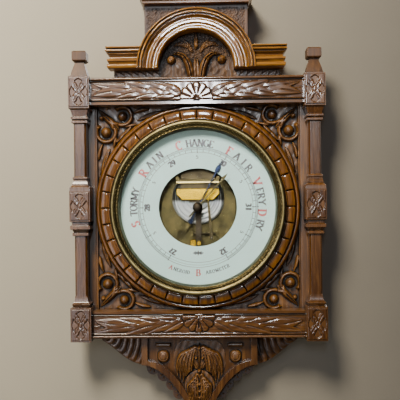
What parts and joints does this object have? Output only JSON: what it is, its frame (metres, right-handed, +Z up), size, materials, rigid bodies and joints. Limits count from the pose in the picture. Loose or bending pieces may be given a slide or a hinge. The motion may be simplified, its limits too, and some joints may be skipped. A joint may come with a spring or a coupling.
{
  "type": "aneroid barometer",
  "caption": "Wall-hung aneroid barometer: round open-centre dial with a working movement, in a carved wooden case with pillars, arched pediment and pendant.",
  "frame": {"origin": "where the dial's axis meets the wall plane, on the back of the case", "axes": "+Z up, +X to the right as seen from the front, +Y into the wall; the dial faces -Y"},
  "size_m": [0.32, 0.0545, 0.547],
  "materials": {
    "oak_case": "polished, worn at the edges",
    "carved_wood": "carved, darkened in the hollows",
    "backboard_wood": "plain, unpolished",
    "lacquered_brass": "lacquered, toned",
    "movement_brass": "bright, brushed",
    "enamel": "porcelain white, printed scale",
    "glass": "clear flat",
    "blued_steel": "blued",
    "bright_steel": "polished",
    "spring_steel": "dark tempered",
    "nickel_silver": "silvered, matt",
    "blackened_iron": "blackened"
  },
  "bodies": {
    "case": {"backboard": "backboard_wood", "carved_panel": "carved_wood", "bezel_surround": "carved_wood", "pillar_left": "oak_case", "pillar_right": "oak_case", "finial_left": "oak_case", "finial_right": "oak_case", "top_rail": "oak_case", "bottom_rail": "oak_case", "pediment_board": "oak_case", "arch_moulding": "oak_case", "shoulder_moulding_left": "oak_case", "shoulder_moulding_right": "oak_case", "frieze_board": "oak_case", "cornice_cap": "oak_case", "tympanum_carving": "carved_wood", "apron_wing_left": "carved_wood", "apron_wing_right": "carved_wood", "pendant_shield": "oak_case", "pendant_moulding": "oak_case", "pendant_palmette": "carved_wood", "pendant_bosses": "carved_wood", "case_wood_screws": "bright_steel", "hanging_plate": "lacquered_brass", "hanging_plate_screws": "lacquered_brass", "case_drum": "lacquered_brass", "drum_screws": "lacquered_brass", "bezel": "lacquered_brass", "sight_ring": "lacquered_brass", "glass": "glass", "glass_bush": "lacquered_brass", "dial": "enamel", "dial_posts": "lacquered_brass", "movement_plate": "movement_brass", "movement_feet": "movement_brass", "movement_screws": "bright_steel", "vacuum_capsule": "nickel_silver", "capsule_nut": "movement_brass", "mainspring": "spring_steel", "spring_bridge": "blackened_iron", "bridge_ears": "movement_brass", "bridge_pivot_screws": "bright_steel", "cross_bar": "movement_brass", "rocking_posts": "movement_brass", "arbor_cock": "blackened_iron", "cock_foot": "movement_brass", "rear_cock": "movement_brass", "hairspring": "spring_steel", "chain": "bright_steel", "crest_board": "backboard_wood"},
    "setting_hand": {"set_knob": "lacquered_brass", "set_hand": "lacquered_brass"},
    "pressure_hand": {"indicating_hand": "blued_steel", "hand_arbor": "bright_steel"},
    "lever": {"main_lever": "movement_brass", "lever_screws": "bright_steel", "knife_edge_pin": "bright_steel"},
    "link": {"link_rod": "bright_steel"},
    "regulator": {"rocking_shaft": "bright_steel"},
    "adjuster": {"adjusting_screw": "bright_steel"}
  },
  "joints": [
    {"name": "hand_turn", "type": "hinge", "parent": "case", "child": "pressure_hand", "pos_m": [0, -0.03, 0], "axis": [0, 1, 0], "range_deg": [-178, 122], "deforming": ["hairspring", "chain"]},
    {"name": "lever_swing", "type": "hinge", "parent": "case", "child": "lever", "pos_m": [0, -0.0206, 0.05], "axis": [1, 0, 0], "range_deg": [-1.19, 0.82], "deforming": ["mainspring", "vacuum_capsule"]},
    {"name": "link_pivot", "type": "hinge", "parent": "lever", "child": "link", "pos_m": [0.017, -0.0246, -0.039], "axis": [1, 0, 0], "range_deg": [-0.82, 1.19]},
    {"name": "regulator_rock", "type": "hinge", "parent": "case", "child": "regulator", "pos_m": [0, -0.014, -0.034], "axis": [1, 0, 0], "range_deg": [-21.36, 14.64]},
    {"name": "set_hand_turn", "type": "hinge", "parent": "case", "child": "setting_hand", "pos_m": [0, -0.044, 0], "axis": [0, 1, 0], "continuous": true},
    {"name": "adjuster_turn", "type": "hinge", "parent": "case", "child": "adjuster", "pos_m": [0, -0.004, 0.061], "axis": [0, 1, 0], "range_deg": [-360, 360]}
  ],
  "couplings": [
    {"joint": "regulator_rock", "follows": "hand_turn", "ratio": 0.12},
    {"joint": "lever_swing", "follows": "hand_turn", "ratio": 0.0067},
    {"joint": "link_pivot", "follows": "hand_turn", "ratio": -0.0067}
  ]
}
